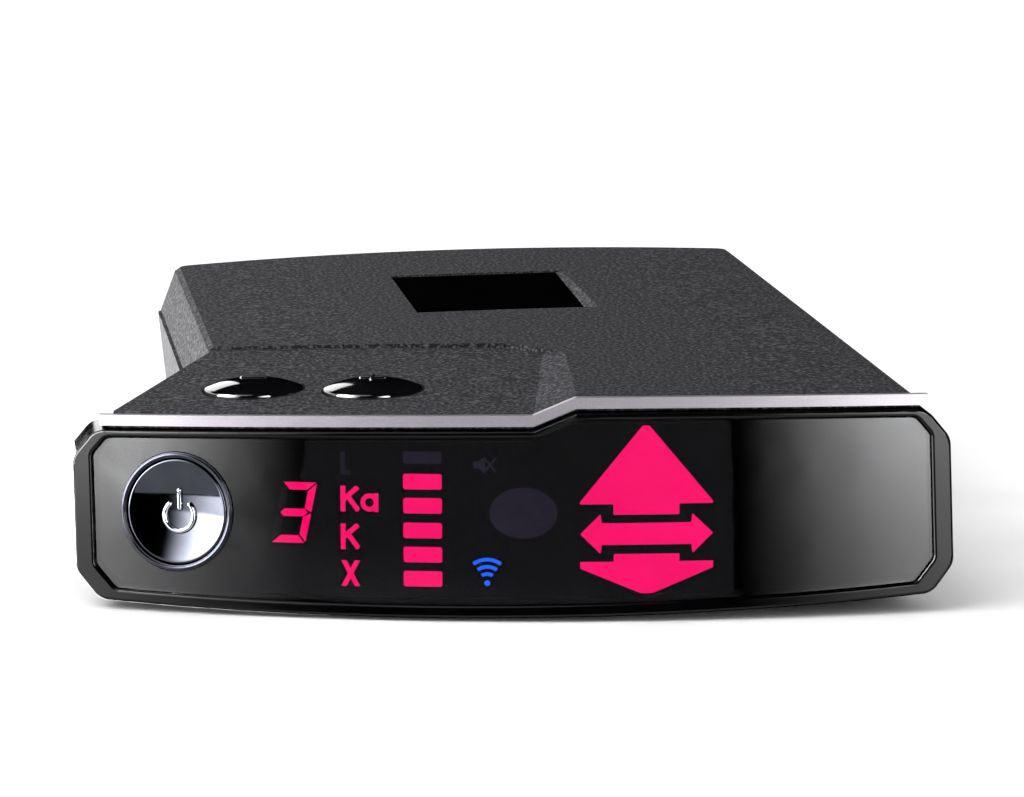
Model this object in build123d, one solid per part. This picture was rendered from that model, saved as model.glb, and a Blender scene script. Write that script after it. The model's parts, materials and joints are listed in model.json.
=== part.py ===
"""Windscreen radar detector with a turned, convex display end.

Frame: millimetres, +Z up. The origin is on the flat underside. +Y points away from the driver,
to the antenna end, and +X to the driver's right. The display end is at -Y.
"""
import os
from math import atan2, cos, degrees, radians, sin, sqrt, tan

from build123d import *

os.makedirs("parts", exist_ok=True)

# ---------------------------------------------------------------- driving dimensions
case_width = 70.2            # between the top edges of the two flanks
case_length = 116.4          # flank, from the antenna end's corner to the face's front
case_height = 22.7           # flank's top edge above the underside
case_centre_x = 6.45         # the case sits to the right of the middle of the wider face
crown = 0.45                 # rise of the top from flank to middle
far_bow = 4.0                # bulge of the antenna end in plan
parting_z = 17.0             # joint between the top and bottom castings
parting_gap = 0.3            # shadow gap at the joint
flare_top = 2.0              # flank's spread from the top edge down to the joint
flare_base = 2.35            # bottom casting's spread at the joint
flare_foot = 0.9             # bottom casting's spread at the underside
top_edge = 0.45              # chamfer along the top edges of the flanks
base_edge = 0.5              # chamfer round the underside
far_corner = 1.6             # rounding of the antenna end's corners in plan
wall = 1.8                   # casting wall
roof = 2.0                   # casting thickness under the top
floor = 1.6                  # bottom casting's floor
fit = 0.1                    # clearance between fixed pieces
slide_fit = 0.15             # clearance round pieces that slide

face_width = 90.3
face_radius = 170.8          # plan radius of the convex face
face_square_x = 36.4         # where the face runs square to the case
face_rake = 6.0              # degrees that the face leans back
face_turn = 12.8             # degrees that the face's chord is turned to the left
bezel_depth = 7.0
bezel_rim = 2.1              # width of the bezel's rim at its ends
bezel_rim_top = 0.75
bezel_rim_foot = 1.3
bezel_ledge = 0.5            # shelf behind the lens
bezel_bevel = (2.4, 3.0)     # bezel's corner bevels: across, up
opening_head_bevel = (1.5, 1.8)
opening_foot_bevel = (2.0, 2.4)
bezel_corner = 2.2           # rounding where a bevel meets a side
bezel_edge = 0.32            # rounding of the bezel's front edge
square_bevel = (0.01, 0.01)  # no bevel, for outlines that only cut
chin = 0.5                   # the underside's rise behind the bezel's lower edge
chin_depth = 5.0
tongue_height = 1.6          # lip of the lower casting inside the upper one
tongue_thickness = 0.9
bezel_foot_z = 0.3           # lowest point of the bezel
foot_curve = 0.00062         # how fast the bezel's lower edge rises to each side
foot_low_x = -10.0
lens_set_back = 0.45
lens_thickness = 1.2
mask_thickness = 0.4
layer_gap = 0.1

brow_height = 1.15           # bright trim above the bezel
brow_thickness = 0.9
brow_gap = 0.45              # shadow line between the trim and the bezel
brow_set_back = 0.25
wing_left_x = -40.5          # left end of the top casting at the face
brow_left_x = -42.2          # left end of the trim
brow_right_inset = 2.3       # trim's right end, in from the bezel's

pad_step_front = 1.82        # button pad's depth below the top, at the face
pad_step_back_left = 0.2
pad_step_back_right = 0.55
pad_depth = 33.0             # from the chord of the face to the pad's back edge
pad_skin = 1.9
step_low = (2.9, 0.5)        # foot of the slope beside the pad: at the face, at the back
step_high = (7.4, 2.7)       # top of the slope beside the pad: at the face, at the back

volume_radius = 5.4
volume_dome = 1.1
volume_proud = 0.2           # straight side of a button above the pad
volume_down_at = (-25.4, -31.9)
volume_up_at = (-12.95, -35.8)

power_radius = 5.55
power_at = (-35.05, 10.65)   # along the face, and up
power_ring_width = 0.55
power_dish = 1.0             # depth of the finger dish

window_size = (20.4, 31.0)   # top sensor window
window_at = (6.8, 24.2)
window_sink = (1.0, 0.15)    # depth below the top: near edge, far edge
window_plate = 1.1
window_flare = (1.0, 0.8)    # slope of the window's right wall in plan: near, far

channel_width = 20.6         # bracket channel in the underside
channel_mouth = 17.4
channel_height = 4.4
channel_lip = 1.5
channel_length = 40.0
lever_width = 9.6
lever_length = 23.0
lever_thickness = 1.6
lever_pin_radius = 0.8
lever_swing_room = 7.2       # height of the lever's well

main_board_z = 9.8
board_thickness = 1.2
screw_radius = 1.25
screw_head = (2.5, 2.0)      # radius, height
boss_radius = 3.0

# ---------------------------------------------------------------- derived places
half_width = case_width / 2
far_y = case_length / 2
face_slope = tan(radians(face_rake))
face_arc_y = -far_y - 1.6 + face_radius
turn = radians(face_turn)
left_x = case_centre_x - half_width
right_x = case_centre_x + half_width

upward = (Align.CENTER, Align.CENTER, Align.MIN)    # boxes and rods that grow up from their place
outward = (Align.MIN, Align.CENTER, Align.CENTER)   # boxes that grow to the right from their place


def front_y(x, z, back=0.0):
    """Y of the face at a width and height, a distance behind its front."""
    return face_arc_y - sqrt(face_radius ** 2 - (x - face_square_x) ** 2) + z * face_slope + back


def top_z(x):
    """Height of the crowned top at a width."""
    return case_height + crown * (1 - ((x - case_centre_x) / half_width) ** 2)


chord_y = (front_y(-face_width / 2, 0) + front_y(face_width / 2, 0)) / 2
face_plane = Plane(
    origin=(0, chord_y, 0),
    x_dir=(cos(turn), -sin(turn), 0),
    z_dir=(-sin(turn), -cos(turn), 0),
)


def chord_point(s, depth, z=0.0):
    """A point given along the face's chord and behind it."""
    return Vector(
        s * cos(turn) + depth * sin(turn),
        chord_y - s * sin(turn) + depth * cos(turn),
        z,
    )


def chord_place(point):
    """Distance along the face's chord and behind it, of a point in plan."""
    dx = point[0]
    dy = point[1] - chord_y
    return dx * cos(turn) - dy * sin(turn), dx * sin(turn) + dy * cos(turn)


# ---------------------------------------------------------------- shared shapes
def face_layer(near, far, reach=62.0, low=-6.0, high=34.0):
    """Space between two copies of the face's surface, near and far behind its front."""
    def bend(back):
        ends = [(x, front_y(x, low, back), low) for x in (-reach, 0, reach)]
        return Edge.make_three_point_arc(*ends)
    front = bend(near)
    back = bend(far)
    sides = [Edge.make_line(front @ 1, back @ 1), Edge.make_line(back @ 0, front @ 0)]
    outline = Face(Wire([front, sides[0], back, sides[1]]))
    lift = high - low
    return Solid.extrude(outline, Vector(0, face_slope * lift, lift))


def elevation_prism(outline, near=-90.0, far=90.0):
    """Face drawn in X and Z, carried along Y."""
    return Solid.extrude(outline.moved(Location((0, near, 0))), Vector(0, far - near, 0))


def brow_z(x):
    """Height of the top's front edge at a width: the pad is lower than the rest."""
    return top_z(x) - (pad_step_front if x < step_x[0] + 0.01 else 0)


step_x = [chord_point(s, -4.0).X for s in (step_low[0], step_high[0])]


def face_outline(inset, drop, raise_foot, left=None, head_bevel=square_bevel, foot_bevel=square_bevel,
                 rounding=0.0):
    """Elevation of the face: eight-sided with rounded corners, and a step in its top edge."""
    x0 = -face_width / 2 + inset if left is None else left
    x1 = face_width / 2 - inset
    head_across, head_up = head_bevel
    foot_across, foot_up = foot_bevel

    def foot(x):
        return bezel_foot_z + foot_curve * (x - foot_low_x) ** 2 + raise_foot

    def head(x):
        return brow_z(x) - drop

    def arc(points):
        return Edge.make_three_point_arc(*[(x, 0, z) for x, z in points])

    def line(a, b):
        return Edge.make_line((a[0], 0, a[1]), (b[0], 0, b[1]))

    foot_ends = (x0 + foot_across, x1 - foot_across)
    bottom = [(x, foot(x)) for x in (foot_ends[0], sum(foot_ends) / 2, foot_ends[1])]
    low_x = (x0 + head_across, (x0 + head_across + step_x[0]) / 2, step_x[0])
    high_x = (step_x[1], (step_x[1] + x1 - head_across) / 2, x1 - head_across)
    low_head = [(x, head(x)) for x in low_x]
    high_head = [(x, head(x)) for x in high_x]
    side = [
        (x0, low_head[0][1] - head_up),
        (x0, bottom[0][1] + foot_up),
        (x1, bottom[2][1] + foot_up),
        (x1, high_head[2][1] - head_up),
    ]
    outline = Face(Wire([
        arc(bottom),
        line(bottom[2], side[2]),
        line(side[2], side[3]),
        line(side[3], high_head[2]),
        arc(high_head),
        line(high_head[0], low_head[2]),
        arc(low_head),
        line(low_head[0], side[0]),
        line(side[0], side[1]),
        line(side[1], bottom[0]),
    ]))
    if rounding:
        corners = [v for v in outline.vertices() if v.X < low_x[0] + 0.6 or v.X > high_x[2] - 0.6]
        outline = outline.fillet_2d(rounding, corners)
    return outline


def opening_outline(inset, drop, raise_foot):
    """Outline of the lens opening, or of a piece or a shelf that follows it."""
    return face_outline(inset, drop, raise_foot, head_bevel=opening_head_bevel,
                        foot_bevel=opening_foot_bevel, rounding=bezel_corner / 2)


rim_drop = brow_height + brow_gap          # from the brow down to the bezel's top
lens_drop = rim_drop + bezel_rim_top
face_blank = elevation_prism(face_outline(0, rim_drop, 0, None, bezel_bevel, bezel_bevel, bezel_corner))
lens_opening = elevation_prism(opening_outline(bezel_rim, lens_drop, bezel_rim_foot))
lens_blank = elevation_prism(opening_outline(bezel_rim + fit, lens_drop + fit, bezel_rim_foot + fit))
ledge = bezel_rim + bezel_ledge
ledge_top = lens_drop + bezel_ledge
ledge_foot = bezel_rim_foot + bezel_ledge
ledge_opening = elevation_prism(opening_outline(ledge, ledge_top, ledge_foot))
mask_blank = elevation_prism(opening_outline(ledge + fit, ledge_top + fit, ledge_foot + fit))

lens_back = lens_set_back + lens_thickness
mask_front = lens_back + layer_gap
mask_back = mask_front + mask_thickness
glyph_back = mask_back + 0.2


def on_face(sketch, near, far):
    """A flat drawing carried through the face and kept to one layer of it."""
    return extrude(face_plane * sketch, amount=25, both=True) & face_layer(near, far)


def case_blank(levels, inset=0.0):
    """Case body between two levels; each level is a height and the flanks' spread there."""
    sections = []
    wing_foot = (volume_down_at[0] - 15.1, -39.4)
    shoulder = (left_x, chord_point(-31.0, pad_depth).Y)
    lean = (wing_foot[0] - shoulder[0]) / (wing_foot[1] - shoulder[1])
    near_y = -far_y - 14
    for z, spread in levels:
        side = spread - inset
        end = far_y + spread * 0.5 - inset
        left = left_x - side
        right = right_x + side
        wing_x = left + lean * (near_y - shoulder[1])
        corners = [(left, end), (right, end), (right, near_y), (wing_x, near_y), (left, shoulder[1])]
        bow = (case_centre_x, end + far_bow)
        edges = [
            Edge.make_three_point_arc((*corners[0], z), (*bow, z), (*corners[1], z)),
        ]
        for a, b in zip(corners[1:], corners[2:] + corners[:1]):
            edges.append(Edge.make_line((*a, z), (*b, z)))
        outline = Wire(edges)
        if far_corner > inset:
            far = [v for v in outline.vertices() if abs(v.Y - end) < 0.01]
            outline = outline.fillet_2d(far_corner, far)
        sections.append(outline)
    return Solid.make_loft(sections, ruled=True)


top_levels = [
    (parting_z - 3, flare_top),
    (parting_z + parting_gap, flare_top),
    (case_height - top_edge, flare_top * top_edge / (case_height - parting_z)),
    (case_height, -top_edge),
    (case_height + 1, -2 * top_edge),
]
base_levels = [
    (-1, flare_foot - 2 * base_edge),
    (0, flare_foot - base_edge),
    (base_edge, flare_foot),
    (parting_z, flare_base),
    (parting_z + 3, flare_base),
]


def between(z_low, z_high):
    """Everything between two heights."""
    return Pos(0, 0, z_low) * Box(260, 260, z_high - z_low, align=upward)


def under_crown(lower=0.0):
    """Space below the crowned top, or below a surface under it."""
    ends = [(x, 0, top_z(x) - lower) for x in (-60, case_centre_x, 72)]
    top = Edge.make_three_point_arc(*ends)
    base = [(ends[2][0], 0, -8), (ends[0][0], 0, -8)]
    sides = [
        Edge.make_line(ends[2], base[0]),
        Edge.make_line(base[0], base[1]),
        Edge.make_line(base[1], ends[0]),
    ]
    return elevation_prism(Face(Wire([top] + sides)))


def pad_space():
    """Space over the button pad: a sunk floor, a slope on its right and a cut corner."""
    sections = []
    stations = (
        (-14.0, pad_step_front + 0.35, pad_step_front + 0.35, 0),
        (pad_depth, pad_step_back_left, pad_step_back_right, 1),
    )
    for depth, left_step, right_step, end in stations:
        low_s = step_low[end] if end else step_low[0] + (step_low[0] - step_low[1]) * 0.3
        high_s = step_high[end] if end else step_high[0] + (step_high[0] - step_high[1]) * 0.3
        s_values = (-60.0, (low_s - 60.0) / 2, low_s)
        steps = (left_step, (left_step + right_step) / 2, right_step)
        floor_points = []
        for s, step in zip(s_values, steps):
            at = chord_point(s, depth)
            floor_points.append(Vector(at.X, at.Y, top_z(at.X) - step))
        high_at = chord_point(high_s, depth)
        high = Vector(high_at.X, high_at.Y, top_z(high_at.X))
        over = high + (high - floor_points[2]) * 0.3
        above = chord_point(high_s + 1.0, depth, case_height + 8)
        corner = chord_point(-60.0, depth, case_height + 8)
        edges = [
            Edge.make_three_point_arc(*floor_points),
            Edge.make_line(floor_points[2], over),
            Edge.make_line(over, above),
            Edge.make_line(above, corner),
            Edge.make_line(corner, floor_points[0]),
        ]
        sections.append(Wire(edges))
    space = Solid.make_loft(sections, ruled=True)
    far_edge = [(-70, pad_depth), (-3.2, pad_depth)]
    right_edge = [(2.6, pad_depth - 5), (4.4, pad_depth - 10), (14, -30)]
    plan = far_edge + right_edge + [(-70, -30)]
    outline = Face(Wire.make_polygon([chord_point(s, v, case_height - 6) for s, v in plan]))
    return space & Solid.extrude(outline, Vector(0, 0, 20))


def slot(x, y, z_low, z_high, width, depth):
    """Upright box, centred in plan."""
    high = z_high - z_low
    return Pos(x, y, z_low) * Box(width, depth, high, align=upward)


def rod(x, y, z_low, z_high, radius):
    """Upright cylinder."""
    high = z_high - z_low
    return Pos(x, y, z_low) * Cylinder(radius, high, align=upward)


def one_node(shapes):
    """Separate solids that share a node."""
    return Compound(children=[s for s in shapes])


def emit(name, shape):
    """Write one node."""
    export_step(shape, f"parts/{name}.step")


pad_cut = pad_space()
pad_floor_z = {}
for place in (volume_down_at, volume_up_at):
    s, depth = chord_place(place)
    share = (depth + 4.2) / (pad_depth + 4.2)
    back_step = pad_step_back_left + (pad_step_back_right - pad_step_back_left) * (s + 60) / 60
    step = pad_step_front + (back_step - pad_step_front) * share
    pad_floor_z[place] = top_z(place[0]) - step
pad_under_z = top_z(wing_left_x) - pad_step_front - pad_skin

# ---------------------------------------------------------------- places shared by several pieces
screw_places = [
    (left_x + 4.6, far_y - 5.5),
    (right_x - 4.6, far_y - 5.5),
    (right_x - 4.6, -far_y + 11.4),
    (left_x + 1.6, -far_y + 38.0),
]
boss_joint_z = 8.6
post_places = [(left_x + 6.0, -13.0), (right_x - 6.0, -13.0), (right_x - 6.0, 24.0), (left_x + 4.0, 16.0)]
post_radius = 2.2
small_screw = 0.9

jack_y = 14.0
jack_z = 10.2
jack_size = (14.0, 12.6, 9.6)
jack_hole = (10.2, 6.8)
panel_at = (jack_y, 9.8)     # socket panel's middle: along the flank, up
panel_size = (18.6, 12.8)
jack_depth = 11.5
phone_y = 0.5
phone_z = 13.2
phone_bore = 1.8
phone_body = 3.1
phone_length = 13.0
socket_face_x = right_x - 1.4     # the power socket sits behind the flank's wall
phone_face_x = right_x + 1.7      # the earphone socket's barrel passes through it

radome_x = (left_x + 4.0, right_x - 4.0)
radome_z = (7.4, 15.6)
radome_thickness = 1.5

speaker_at = (left_x + 15.0, -4.0)
speaker_radius = 9.5

lever_pivot_y = 2.0
lever_pivot_z = 3.1
lever_x = case_centre_x
channel_y = far_y - channel_length + 4.0


# ---------------------------------------------------------------- castings
def screw_bosses(z_low, z_high):
    return [rod(x, y, z_low, z_high, boss_radius) for x, y in screw_places]


def window_block(grow, thickness, lift):
    """Tilted slab that follows the sunk floor of the top window."""
    width, length = window_size
    tilt = degrees(atan2(window_sink[0] - window_sink[1], length))
    z = top_z(window_at[0]) - sum(window_sink) / 2
    block = Box(width + 2 * grow, length + 2 * grow, thickness)
    return Pos(*window_at, z + lift) * Rot(tilt, 0, 0) * Pos(0, 0, -thickness / 2) * block


def window_slope():
    """Wedge that slopes the right wall of the window's seat."""
    wall_x = window_at[0] + window_size[0] / 2 - 0.01
    sections = []
    for way, sink, flare in zip((-1, 1), window_sink, window_flare):
        y = window_at[1] + way * window_size[1] / 2
        rim = top_z(wall_x + flare) + 0.02
        foot = top_z(wall_x) - sink
        slope = [(wall_x, y, foot), (wall_x + flare, y, rim)]
        above = [(wall_x + flare, y, rim + 3), (wall_x, y, rim + 3)]
        sections.append(Wire.make_polygon(slope + above))
    return Solid.make_loft(sections, ruled=True)


def top_case():
    """Die-cast upper shell with the sunk button pad and the window's seat."""
    outer = case_blank(top_levels) & between(parting_z + parting_gap, case_height + 4)
    outer = outer & under_crown()
    outer = outer & face_layer(brow_set_back + brow_thickness, 190)
    outer -= pad_cut
    cavity = case_blank(top_levels, wall) & under_crown(roof)
    pad_reach = Vector(step_x[1] + roof + 1.0, chord_point(0, pad_depth + 2).Y)
    under_pad = Pos(0, 0, pad_under_z) * Box(240, 240, 20, align=(Align.MAX, Align.MAX, Align.MIN))
    cavity -= Pos(pad_reach.X, pad_reach.Y, 0) * under_pad
    outer -= cavity
    bezel_room = elevation_prism(face_outline(-6, rim_drop - fit, -8))
    outer -= bezel_room & face_layer(-6, bezel_depth + fit)
    for boss in screw_bosses(boss_joint_z, case_height - 0.5):
        outer += boss & under_crown(roof / 2)
    for x, y in screw_places:
        outer -= rod(x, y, boss_joint_z - 1, case_height - roof - 1.5, screw_radius - 0.1)
    for x, y in pad_posts:
        outer += rod(x, y, pad_board_top, pad_under_z + 0.5, post_radius)
    for x, y in pad_posts:
        outer -= rod(x, y, pad_board_top - 1, pad_board_top + 2.4, small_screw)
    for x, y in (volume_down_at, volume_up_at):
        outer -= rod(x, y, pad_under_z - 1, case_height + 3, volume_radius + slide_fit)
    outer -= window_block(0, 9, 9) + window_block(0, window_plate, 0)
    outer -= window_block(-1.0, 9, -window_plate + 1)
    outer -= window_slope()
    for hole in side_openings():
        outer -= hole
    return outer


def side_openings():
    """Holes in the right flank for the power socket and the earphone socket."""
    reach = 12
    power = Pos(socket_face_x - 3, *panel_at) * Box(reach, *panel_size, align=outward)
    phone = Pos(phone_face_x - phone_length, phone_y, phone_z) * Rot(0, 90, 0)
    phone = phone * Cylinder(phone_body + fit, reach + phone_length, align=upward)
    return power, phone


def socket_panel():
    """Moulded plate in the right flank, open at the power socket."""
    skin = case_blank(base_levels, 0.15) - case_blank(base_levels, wall)
    width, height = (size - 2 * fit for size in panel_size)
    plate = skin & (Pos(right_x - 2, *panel_at) * Box(12, width, height, align=outward))
    mouth = Box(12, jack_hole[0] + 1.2, jack_hole[1] + 1.2, align=outward)
    return plate - Pos(right_x - 3, jack_y, jack_z) * mouth


def channel_run(width, low, high, grow=0.0):
    """Straight slot along the bracket channel, open at the antenna end."""
    length = channel_length + 20
    middle = channel_y - grow + length / 2
    return slot(case_centre_x, middle, low, high + grow, width + 2 * grow, length)


def channel_space():
    """Bracket channel: a slot open at the antenna end and below, wider above its lips."""
    mouth = channel_run(channel_mouth, -2, channel_height)
    return mouth + channel_run(channel_width, channel_lip, channel_height)


def lever_well(grow=0.0):
    """Pocket in the underside that the release lever swings in."""
    near = lever_pivot_y - 3.4 - grow
    far = channel_y + 6.5 + grow
    width = lever_width + 0.8 + 2 * grow
    return slot(lever_x, (near + far) / 2, -2, lever_swing_room + grow, width, far - near)


def bottom_case():
    """Die-cast lower shell: bracket channel, lever well, bosses, speaker slots and side openings."""
    outer = case_blank(base_levels) & between(0, parting_z) & face_layer(bezel_depth + fit, 190)
    tongue = case_blank(top_levels, wall + slide_fit) & between(parting_z - 2, parting_z + tongue_height)
    outer += tongue & face_layer(bezel_depth + 1, 190)
    inner = case_blank(base_levels, wall + tongue_thickness) & between(floor, case_height)
    outer -= inner
    foot_room = elevation_prism(face_outline(-6, -9, -20))
    foot_room -= elevation_prism(face_outline(-6, -9, chin))
    outer -= foot_room & face_layer(-6, bezel_depth + chin_depth)
    outer += lever_well(floor) & between(0, parting_z)
    outer -= channel_run(channel_width, -2, channel_height, floor + fit)
    outer -= lever_well()
    outer -= Pos(lever_x, lever_pivot_y, lever_pivot_z) * Rot(0, 90, 0) * Cylinder(
        lever_pin_radius, lever_width + 4 * floor)
    for boss in screw_bosses(0.2, boss_joint_z - fit):
        outer += boss
    for x, y in screw_places:
        outer -= rod(x, y, -1, boss_joint_z + 1, screw_radius + fit)
        outer -= rod(x, y, -1, screw_head[1] + 0.6, screw_head[0] + 0.2)
    for x, y in post_places:
        outer += rod(x, y, floor - 0.5, main_board_z, post_radius)
    for x, y in post_places:
        outer -= rod(x, y, main_board_z - 5, main_board_z + 1, small_screw)
    for row in range(-3, 4):
        outer -= slot(speaker_at[0] + row * 2.4, speaker_at[1], -1, floor + 1, 1.1, 15 - abs(row) * 2.2)
    label = label_size[0] + 2 * fit, label_size[1] + 2 * fit
    outer -= slot(*label_at, -1, 0.35, *label)
    lo, hi = radome_x
    opening = slot((lo + hi) / 2, far_y, radome_z[0], radome_z[1], hi - lo, 30)
    outer -= opening
    for hole in side_openings():
        outer -= hole
    return outer


def bracket_channel():
    """Cast insert in the underside: two lips, two walls and a roof round the bracket's tongue."""
    block = channel_run(channel_width, -2, channel_height, floor)
    insert = block & between(0, parting_z) & case_blank(base_levels)
    return insert - channel_space() - lever_well()


def front_radome():
    """Dark window in the antenna end that radio waves and laser light pass through."""
    high = parting_z
    skin = case_blank([(0, flare_foot), (high, flare_base)], 0.3)
    skin -= case_blank([(-1, flare_foot), (high + 1, flare_base)], 0.3 + radome_thickness)
    lo, hi = radome_x
    width = hi - lo - 2 * fit
    return skin & slot((lo + hi) / 2, far_y, radome_z[0] + fit, radome_z[1] - fit, width, 30)


label_size = (26.0, 14.0)
label_at = (case_centre_x + 16.0, -22.0)
pad_board_top = pad_under_z - 3.5
pad_board_centre = (
    (volume_down_at[0] + volume_up_at[0]) / 2,
    (volume_down_at[1] + volume_up_at[1]) / 2,
)
pad_turn = degrees(atan2(volume_up_at[1] - volume_down_at[1], volume_up_at[0] - volume_down_at[0]))
pad_frame = Pos(*pad_board_centre, 0) * Rot(0, 0, pad_turn)
pad_posts = [tuple((pad_frame * Pos(x, y, 0)).position)[:2] for x, y in ((-7.0, 9.3), (10.0, 8.6))]

emit("top_case", top_case())
emit("bottom_case", bottom_case())
emit("bracket_channel", bracket_channel())
emit("socket_panel", socket_panel())
emit("front_radome", front_radome())
emit("top_window", window_block(-fit, window_plate - 0.02, 0))
emit("rating_label", slot(*label_at, 0.1, 0.33, *label_size))


# ---------------------------------------------------------------- bright trim and face
def brow_trim():
    """Bright strip along the top's front edge, stepping down beside the button pad."""
    left = brow_left_x
    band = elevation_prism(face_outline(brow_right_inset, 0, 0, left))
    band -= elevation_prism(face_outline(-6, brow_height, -20))
    return band & face_layer(brow_set_back, brow_set_back + brow_thickness - 0.02)


def face_bezel():
    """Gloss frame round the display, with a shelf for the lens."""
    frame = face_blank & face_layer(0, bezel_depth)
    frame -= lens_opening & face_layer(-6, lens_back + 0.02)
    frame -= ledge_opening & face_layer(-6, mask_back + 1.2)
    hollow = elevation_prism(face_outline(1.6, rim_drop + 1.3, 1.3, None, bezel_bevel, bezel_bevel))
    hollow = hollow & case_blank([(-2, flare_foot), (case_height + 2, flare_foot)], wall)
    frame -= hollow & face_layer(mask_back + 1.0, bezel_depth + 9)
    return fillet(front_edges(frame), bezel_edge)


def front_edges(solid):
    """Edges that lie in the face's surface."""
    def in_face(edge):
        points = [edge @ t for t in (0, 0.25, 0.5, 0.75, 1)]
        return all(abs(p.Y - front_y(p.X, p.Z)) < 0.01 for p in points)
    return [edge for edge in solid.edges() if in_face(edge)]


power_x = power_at[0] * cos(turn) + 2.5 * -sin(turn)
power_y = front_y(power_x, power_at[1])
power_lean = (power_x - face_square_x) / sqrt(face_radius ** 2 - (power_x - face_square_x) ** 2)
power_plane = Plane(
    origin=(power_x, power_y, power_at[1]),
    x_dir=(1, power_lean, 0),
    z_dir=(power_lean, -1, face_slope),
)
power_outer = power_radius + slide_fit + power_ring_width


def on_power(radius, near, far):
    """Cylinder on the power button's axis; depths are behind the face."""
    span = far - near
    return power_plane * Pos(0, 0, -far) * Cylinder(radius, span, align=upward)


emit("brow_trim", brow_trim())
emit("face_bezel", face_bezel() - on_power(power_outer + fit, -6, 12))
lens = lens_blank & face_layer(lens_set_back, lens_back)
emit("display_lens", lens - on_power(power_outer + fit, -6, 12))

ring = on_power(power_outer, 0.1, 3.1) - on_power(power_radius + slide_fit, -1, 5)
emit("power_button_ring", ring)
dish_radius = (power_radius ** 2 + power_dish ** 2) / (2 * power_dish)
power_cap = on_power(power_radius, 0.35, 3.2)
power_cap += on_power(power_radius + 0.45, 3.2, 3.7)
power_cap -= power_plane * Pos(0, 0, dish_radius - 0.35 - power_dish) * Sphere(dish_radius - 0.03)
emit("power_button", power_cap)
emit("power_button_plunger", on_power(1.0, 3.7, 4.5))
power_switch = power_plane * Pos(0, 0, -5.2) * Box(4.6, 4.6, 1.4) - on_power(1.15, 4, 5.4)
emit("power_switch", power_switch)


# ---------------------------------------------------------------- legends behind the lens
def slanted(points, lean=0.21, base=7.6):
    """Outline leant over like the digits of a segment display."""
    return make_face(Polyline(*[(s + lean * (z - base), z) for s, z in points], close=True))


digit_at = (-25.0, 7.6)
digit_size = (3.7, 6.35)
stroke = 0.8
seg_gap = 0.12


def segment(name):
    """One bar of the seven-bar digit."""
    s0, z0 = digit_at
    width, height = digit_size
    s1 = s0 + width
    z1 = z0 + height
    mid = (z0 + z1) / 2
    cut = stroke * 0.5
    flat = {
        "top": (s0 + seg_gap, z1, s1 - seg_gap, z1 - stroke, cut),
        "middle": (s0 + seg_gap + 0.25, mid + cut, s1 - seg_gap - 0.25, mid - cut, -cut),
        "bottom": (s0 + seg_gap, z0 + stroke, s1 - seg_gap, z0, cut),
    }
    upright = {
        "upper_right": (s1, mid, z1, -1),
        "lower_right": (s1, z0, mid, -1),
        "upper_left": (s0, mid, z1, 1),
        "lower_left": (s0, z0, mid, 1),
    }
    if name in flat:
        a, high, b, low, _ = flat[name]
        centre = (high + low) / 2
        tips = [(a + cut, high), (b - cut, high), (b, centre), (b - cut, low), (a + cut, low), (a, centre)]
        if name == "top":
            tips = [(a, high), (b, high), (b - stroke, low), (a + stroke, low)]
        if name == "bottom":
            tips = [(a + stroke, high), (b - stroke, high), (b, low), (a, low)]
        return slanted(tips)
    s, low, high, way = upright[name]
    inner = s + way * stroke
    outer_low = low + (seg_gap if low == z0 else seg_gap / 2)
    outer_high = high - (seg_gap if high == z1 else seg_gap / 2)
    inner_low = outer_low + (stroke if low == z0 else cut)
    inner_high = outer_high - (stroke if high == z1 else cut)
    return slanted([(s, outer_low), (s, outer_high), (inner, inner_high), (inner, inner_low)])


def letter(strokes, width=0.52):
    """Sans-serif letter from straight strokes."""
    shape = Sketch()
    for a, b in strokes:
        length = sqrt((b[0] - a[0]) ** 2 + (b[1] - a[1]) ** 2)
        angle = degrees(atan2(b[1] - a[1], b[0] - a[0]))
        bar = Pos((a[0] + b[0]) / 2, (a[1] + b[1]) / 2) * Rot(0, 0, angle) * Rectangle(length, width)
        shape += bar
    return shape


letter_s = -17.5
letter_height = 2.68
half_stroke = 0.26


def letter_k(s, z, height):
    spine = s + half_stroke
    mid = z + height * 0.45
    arm = s + 1.85
    strokes = [
        ((spine, z), (spine, z + height)),
        ((spine, mid), (arm, z + height - 0.1)),
        ((spine + 0.55, mid + 0.35), (arm + 0.05, z + 0.1)),
    ]
    return letter(strokes) & (Pos(s + 1.0, z + height / 2) * Rectangle(2.0, height))


def letter_x(s, z, height):
    left, right = s + 0.25, s + 1.8
    foot, head = z - 0.1, z + height + 0.1
    strokes = [((left, foot), (right, head)), ((right, foot), (left, head))]
    return letter(strokes) & (Pos(s + 1.05, z + height / 2) * Rectangle(2.3, height))


def letter_l(s, z, height):
    stem = s + half_stroke
    foot = z + half_stroke
    return letter([((stem, z), (stem, z + height)), ((s, foot), (s + 1.1, foot))])


def letter_a(s, z):
    bowl = Pos(s + 0.72, z + 0.98) * (Circle(0.95) - Circle(0.45))
    stem = Pos(s + 1.42, z + 0.98) * Rectangle(0.5, 1.96)
    return bowl + stem


bar_size = (4.06, 1.62)
bar_s = -8.83
bar_z = (4.13, 6.64, 9.15, 11.72, 14.22)
spare_bar = (16.72, 1.3)
arrow_s = 14.42
arrow_half = 6.85


def arrow_ahead():
    z = (10.8, 11.9, 20.0)
    half = 3.4
    tip = 0.35
    points = [
        (-half, z[0]), (half, z[0]), (half, z[1]), (arrow_half, z[1]), (arrow_half, z[1] + 0.25),
        (tip, z[2]), (-tip, z[2]), (-arrow_half, z[1] + 0.25), (-arrow_half, z[1]), (-half, z[1]),
    ]
    return make_face(Polyline(*[(arrow_s + s, z) for s, z in points], close=True))


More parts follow.
